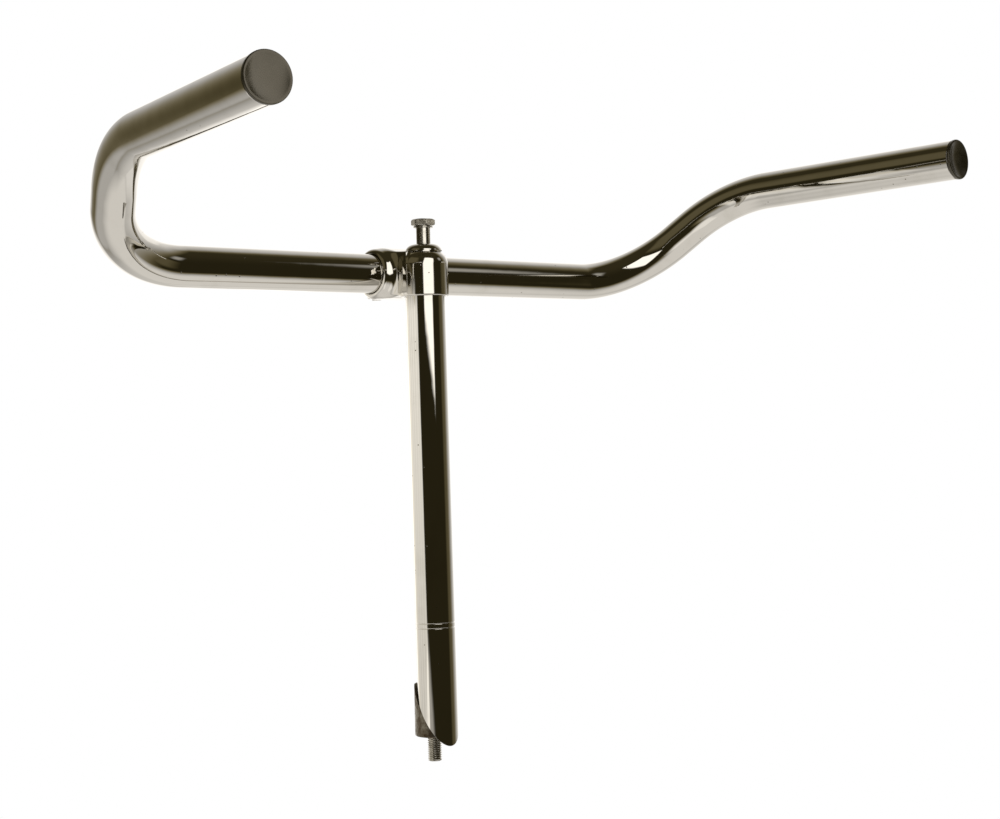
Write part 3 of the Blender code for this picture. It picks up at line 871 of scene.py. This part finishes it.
def make_expander_bolt(steel):
    """The long M8 bolt: hexagonal head, plain shank and the thread that pulls the wedge."""
    top = along_expander("expander_bolt_head")
    foot = height_on("expander_bolt", 0, M8_RADIUS)
    bottom = top - M8_HEAD_HEIGHT
    head = hexagon("bolt_head", M8_ACROSS_FLATS, bottom, top)
    head.data.transform(Matrix.Rotation(EXPANDER_HEAD_TURN, 4, "Z"))
    thread_top = foot + M8_THREAD_LENGTH
    shank = rod_with_thread("bolt_shank", M8_RADIUS, M8_PITCH, bottom + GAP, thread_top, foot)
    bolt = merge("expander_bolt_m8", head, shank)
    place(bolt, EXPANDER_PIVOT, EXPANDER_AXIS)
    return hand_over(bolt, "bolt", "plated_steel", steel, "expander_bolt")


def washer_outline(hole, radius, bottom, top):
    """Outline of a flat ring with chamfered edges."""
    edge = (top - bottom) / 4
    return [
        (hole, bottom + edge), (hole + edge, bottom),
        (radius - edge, bottom), (radius, bottom + edge),
        (radius, top - edge), (radius - edge, top),
        (hole + edge, top), (hole, top - edge),
    ]


def make_expander_washer(steel):
    low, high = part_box("expander_washer")
    radius = (high.x - low.x) / 2
    bottom = height_on("expander_washer", 0, radius)
    top = height_on("expander_washer", 1, radius)
    outline = washer_outline(M8_RADIUS + GAP, radius, bottom, top)
    washer = turned("bolt_washer", outline, TURNED_SIDES, closed=True)
    place(washer, EXPANDER_PIVOT, EXPANDER_AXIS)
    return hand_over(washer, "bolt_carrier", "plated_steel", steel, "expander_washer")


def make_wedge(steel):
    """The wedge that the bolt pulls up: a cylinder cut along the quill's slanted foot."""
    foot = along_expander("wedge_foot")
    top = height_on("expander_wedge", 1, WEDGE_RADIUS - WEDGE_EDGE_ROUND)
    hole = M8_RADIUS + GAP
    round_off = WEDGE_EDGE_ROUND
    edge = WEDGE_RADIUS - round_off
    outline = [(hole + GAP, foot)] + arc((edge, foot + round_off), round_off, -90, 0)
    outline += arc((edge, top - round_off), round_off, 0, 90)
    outline += [(hole + GAP, top), (hole, top - GAP), (hole, foot + GAP)]
    wedge = turned("wedge", outline, TURNED_SIDES, closed=True)
    place(wedge, EXPANDER_PIVOT, EXPANDER_AXIS)
    normal = Vector((0, CUT_SLOPE, -1)).normalized()
    point = Vector((0, -QUILL_RADIUS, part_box("quill_tube")[0].z)) + normal * GAP
    bm = bmesh.new()
    bm.from_mesh(wedge.data)
    bmesh.ops.bisect_plane(
        bm, geom=bm.verts[:] + bm.edges[:] + bm.faces[:],
        plane_co=point, plane_no=-normal, clear_outer=True, dist=CUT_TOLERANCE,
    )
    bmesh.ops.bridge_loops(bm, edges=[side for side in bm.edges if side.is_boundary])
    bmesh.ops.recalc_face_normals(bm, faces=bm.faces)
    bm.to_mesh(wedge.data)
    bm.free()
    shade(wedge.data)
    soften(wedge)
    return hand_over(wedge, "wedge", "raw_steel", steel, "expander_wedge")


def make_binder_bolt(steel):
    """The M6 clamp bolt, whose key in the ear stops it turning."""
    low, high = (corner.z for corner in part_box("binder_bolt"))
    bottom = high - BINDER_HEAD_HEIGHT
    head = hexagon("binder_head", M6_ACROSS_FLATS, bottom, high, both_ends=False)
    thread_top = bottom - BINDER_PLAIN_LENGTH
    shank = rod_with_thread("binder_shank", M6_RADIUS, M6_PITCH, bottom + GAP, thread_top, low)
    key_bottom = BAR_AXIS.z + EAR_HALF_HEIGHT - KEY_DEPTH
    half = KEY_WIDTH / 2
    square = ((-half, -half), (half, -half), (half, half), (-half, half))
    rows = [[(x, y - KEY_OFFSET, z) for x, y in square] for z in (key_bottom, bottom + GAP)]
    key = solid("binder_key", rows, closed=False)
    bolt = merge("binder_bolt_m6", head, shank, key)
    place(bolt, Vector((0, BINDER_PLACE.y, 0)))
    return hand_over(bolt, "stem", "plated_steel", steel, "binder_bolt")


def make_binder_washer(steel):
    low, high = (corner.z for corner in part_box("binder_washer"))
    outline = washer_outline(M6_CLEARANCE_RADIUS, BINDER_WASHER_RADIUS, low, high)
    washer = turned("clamp_washer", outline, TURNED_SIDES, closed=True)
    place(washer, Vector((0, BINDER_PLACE.y, 0)))
    return hand_over(washer, "nut_carrier", "plated_steel", steel, "binder_washer")


def make_binder_nut(steel):
    low, high = (corner.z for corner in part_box("binder_nut"))
    nut = hexagon("clamp_nut", M6_ACROSS_FLATS, low, high, hole=M6_RADIUS + GAP)
    place(nut, Vector((0, BINDER_PLACE.y, 0)))
    return hand_over(nut, "nut", "plated_steel", steel, "binder_nut")


# Studio: directions are in degrees, azimuth from +Y towards +X and elevation up


CAMERA_PLACE = Vector((-0.65381, -0.81473, -0.07493))
CAMERA_AZIMUTH = math.radians(40.954)
CAMERA_ELEVATION = math.radians(0.548)
CAMERA_ROLL = math.radians(-1.80)
CAMERA_LENS = 66.729  # mm
SENSOR_WIDTH = 36.0
FLOOR_HEIGHT = -0.45
FLOOR_HALF = 4.0
WHITE = (1, 1, 1, 1)
DIM_COLOUR = (1.0, 0.80, 0.32, 1)
BRIGHT_COLOUR = (1.0, 0.97, 0.93, 1)
BRIGHT_RANGE = (-0.05, 0.55)  # radiances over which the colour goes from dim to bright
DARK_ROOM = (10, 60, 0.025, 0.042)  # two elevations and the radiance at each
LIT_FLOOR = (-50, -28, 0.92, 0.0)  # two elevations and the radiance at each
SHADE_AZIMUTHS = (-55, -25, 15, 45)  # where a shadow on the floor rises and falls
SHADE = (-72, -38, 0.0, 0.5)  # two elevations and the share of the floor's light lost at each
WALL_AZIMUTHS = (-14, 14, 50, 72)  # where the lit wall rises and falls
WALL_LEAN = (0, 16, 0.0, -16.0)  # two elevations and what is added to the azimuth at each
WALL_FOOT = (-36, -16)
WALL_TOP = (24, 46)
WALL_TOP_DROP = (6, 40, 20.0, 0.0)  # two azimuths and how much lower the top is at each
WALL_RADIANCE = 1.2
SKY_AZIMUTHS = (-37, 39, 58, 110)
SKY = (38, 84, 0.80, 0.06)  # two elevations and the radiance at each
ROOM_LIGHTS = (  # azimuths and elevations where each rises and falls, and its radiance
    ((30, 40, 55, 128), (-60, -40, 32, 68), 0.95),  # right
    ((-115, -98, -6, 12), (-100, -95, -30, -6), 0.58),  # low on the left
    ((-165, -130, -112, -90), (-74, -60, -42, -26), 1.15),  # low and near on the left
    ((88, 104, 120, 144), (-30, -14, 6, 14), 0.12),  # low on the right
    ((-125, -100, -62, -40), (4, 16, 40, 58), 0.13),  # high on the left
)
LIGHT_COLOUR = (1.0, 0.97, 0.92)
SOFTBOX_PLACE = (-0.0981, -0.3492, 0.172)
SOFTBOX_AIM = (0.0, 0.0, 0.172)
SOFTBOX_SIZE = (0.365, 0.427)
SOFTBOX_ROLL = math.radians(-12)
SOFTBOX_RADIANCE = 1.7
SOFTBOX_FADE = (0.12, 0.08)  # share of the width and of the height, at each side
# Low cards: azimuth round the quill, middle, width, height, degrees of roll and radiance
LOW_CARDS = [(azimuth, -0.142, 0.06, 0.335, 0, 0.25) for azimuth in range(-86, 0, 17)]
LOW_CARDS.append((-98, -0.285, 0.14, 0.14, 45, 0.13))  # a diamond near the quill's foot
LOW_CARD_DISTANCE = 0.15
LOW_CARD_DROP = 0.01  # how much lower each card aims
LOW_CARD_SPREAD = math.radians(90)
LOW_CARD_FADE = (0.24, 0.08)
SIDE_CARD_PLACE = (0.48, -0.43, 0.36)
SIDE_CARD_SIZE = (0.30, 0.30)
SIDE_CARD_RADIANCE = 0.40
SIDE_CARD_FADE = (0.4, 0.4)


def toward(azimuth, elevation=0.0):
    """Unit vector at an azimuth from +Y towards +X and an elevation, both in radians."""
    flat = math.cos(elevation)
    return Vector((flat * math.sin(azimuth), flat * math.cos(azimuth), math.sin(elevation)))


def make_camera():
    data = bpy.data.cameras.new("camera")
    data.lens = CAMERA_LENS
    data.sensor_width = SENSOR_WIDTH
    camera = add_object("camera", data)
    ahead = toward(CAMERA_AZIMUTH, CAMERA_ELEVATION)
    right = Matrix.Rotation(-CAMERA_ROLL, 3, ahead) @ ahead.cross(Z).normalized()
    up = right.cross(ahead)
    turn = Matrix((right, up, -ahead)).transposed()
    camera.matrix_world = Matrix.Translation(CAMERA_PLACE) @ turn.to_4x4()
    bpy.context.scene.camera = camera


def make_world():
    """A studio that shows only in reflections: lit areas in a dark room. The camera sees white."""
    world = bpy.data.worlds.new("studio")
    bpy.context.scene.world = world
    world.use_nodes = True
    nodes = Nodes(world.node_tree)
    background = world.node_tree.nodes["Background"]
    ray = nodes.add("ShaderNodeTexCoord").outputs["Generated"]
    x, y, z = nodes.add("ShaderNodeSeparateXYZ", Vector=ray).outputs
    degrees = math.degrees(1)
    azimuth = nodes.times(nodes.maths("ARCTAN2", x, y), degrees)
    elevation = nodes.times(nodes.maths("ARCSINE", z), degrees)

    lost = nodes.window(azimuth, *SHADE_AZIMUTHS)
    lost = nodes.times(lost, nodes.step(elevation, *SHADE))
    floor = nodes.step(elevation, *LIT_FLOOR)
    floor = nodes.times(floor, nodes.maths("SUBTRACT", 1.0, lost))
    top = nodes.plus(elevation, nodes.step(azimuth, *WALL_TOP_DROP))
    upright = nodes.step(top, *WALL_TOP, at_low=1.0, at_high=0.0)
    upright = nodes.times(nodes.step(elevation, *WALL_FOOT), upright)
    turned_azimuth = nodes.plus(azimuth, nodes.step(elevation, *WALL_LEAN))
    wall = nodes.times(nodes.window(turned_azimuth, *WALL_AZIMUTHS), upright)
    sky = nodes.times(nodes.window(azimuth, *SKY_AZIMUTHS), nodes.step(elevation, *SKY))
    total = nodes.maths("MAXIMUM", nodes.step(elevation, *DARK_ROOM), floor)
    total = nodes.maths("MAXIMUM", total, nodes.times(wall, WALL_RADIANCE))
    total = nodes.maths("MAXIMUM", total, sky)
    for azimuths, elevations, radiance in ROOM_LIGHTS:
        light = nodes.window(azimuth, *azimuths)
        light = nodes.times(light, nodes.window(elevation, *elevations))
        total = nodes.maths("MAXIMUM", total, nodes.times(light, radiance))

    warmth = nodes.blend(nodes.step(total, *BRIGHT_RANGE), DIM_COLOUR, BRIGHT_COLOUR)
    seen = nodes.add("ShaderNodeLightPath").outputs["Is Camera Ray"]
    nodes.feed(background.inputs["Color"], nodes.blend(seen, warmth, WHITE))
    strength = nodes.plus(nodes.times(total, nodes.maths("SUBTRACT", 1.0, seen)), seen)
    nodes.feed(background.inputs["Strength"], strength)


def make_soft_light(name, centre, aim, size, radiance, fade):
    """A soft-edged light that the camera doesn't see, its front turned from centre to aim."""
    light = bpy.data.lights.new(name, "AREA")
    light.shape = "RECTANGLE"
    light.size, light.size_y = size
    light.energy = radiance * math.pi * size[0] * size[1]
    light.color = LIGHT_COLOUR
    light.use_nodes = True
    nodes = Nodes(light.node_tree)
    emission = light.node_tree.nodes["Emission"]
    across = nodes.add("ShaderNodeNewGeometry").outputs["Parametric"]
    u, v, _ = nodes.add("ShaderNodeSeparateXYZ", Vector=across).outputs
    wide = nodes.window(u, 0.0, fade[0], 1.0 - fade[0], 1.0)
    tall = nodes.window(v, 0.0, fade[1], 1.0 - fade[1], 1.0)
    nodes.feed(emission.inputs["Strength"], nodes.times(wide, tall))
    lamp = add_object(name, light)
    lamp.location = centre
    lamp.rotation_mode = "QUATERNION"
    lamp.rotation_quaternion = (Vector(centre) - Vector(aim)).to_track_quat("Z", "Y")
    lamp.visible_camera = False
    return lamp


def make_lights():
    softbox = make_soft_light(
        "softbox", SOFTBOX_PLACE, SOFTBOX_AIM, SOFTBOX_SIZE, SOFTBOX_RADIANCE, SOFTBOX_FADE
    )
    softbox.rotation_quaternion @= Quaternion(Z, SOFTBOX_ROLL)
    for azimuth, middle, width, height, roll, radiance in LOW_CARDS:
        centre = toward(math.radians(azimuth)) * LOW_CARD_DISTANCE
        centre.z = middle
        aim = (0, 0, middle - LOW_CARD_DROP)
        name, size = f"low_card{azimuth}", (width, height)
        card = make_soft_light(name, centre, aim, size, radiance, LOW_CARD_FADE)
        card.rotation_quaternion @= Quaternion(Z, math.radians(roll))
        card.data.spread = LOW_CARD_SPREAD
    make_soft_light(
        "side_card", SIDE_CARD_PLACE, BAR_AXIS, SIDE_CARD_SIZE, SIDE_CARD_RADIANCE, SIDE_CARD_FADE
    )


def make_floor():
    """A plain white floor that shows only from above, and not in reflections."""
    mesh = bpy.data.meshes.new("floor")
    half = FLOOR_HALF
    corners = [(-half, -half, 0), (half, -half, 0), (half, half, 0), (-half, half, 0)]
    mesh.from_pydata(corners, [], [(0, 1, 2, 3)])
    floor = add_object("floor", mesh)
    floor.location.z = FLOOR_HEIGHT
    pale = bpy.data.materials.new("pale_floor")
    pale.use_nodes = True
    pale.node_tree.nodes.clear()
    nodes = Nodes(pale.node_tree)
    glow = nodes.add("ShaderNodeEmission", Color=WHITE, Strength=1.0)
    clear = nodes.add("ShaderNodeBsdfTransparent")
    one_sided = nodes.add("ShaderNodeMixShader")
    nodes.feed(one_sided.inputs[0], nodes.add("ShaderNodeNewGeometry").outputs["Backfacing"])
    nodes.feed(one_sided.inputs[1], glow.outputs["Emission"])
    nodes.feed(one_sided.inputs[2], clear.outputs["BSDF"])
    output = nodes.add("ShaderNodeOutputMaterial")
    nodes.feed(output.inputs["Surface"], one_sided.outputs["Shader"])
    mesh.materials.append(pale)
    floor.visible_glossy = False


def main():
    bar_chrome = make_chrome("bar_chrome_finish", **BAR_CHROME)
    lug_chrome = make_chrome("lug_chrome_finish", **LUG_CHROME)
    plated = make_plated_steel()
    raw = make_raw_steel()
    rubber = make_rubber()
    make_handlebar(bar_chrome)
    make_end_plug(-1, rubber)
    make_end_plug(1, rubber)
    make_lug(lug_chrome)
    make_quill(bar_chrome)
    make_top_plug(lug_chrome)
    make_expander_bolt(plated)
    make_expander_washer(plated)
    make_wedge(raw)
    make_binder_bolt(plated)
    make_binder_washer(plated)
    make_binder_nut(plated)
    make_world()
    make_lights()
    make_floor()
    make_camera()
    bpy.context.scene.view_settings.view_transform = "Standard"


main()
bpy.context.view_layer.update()
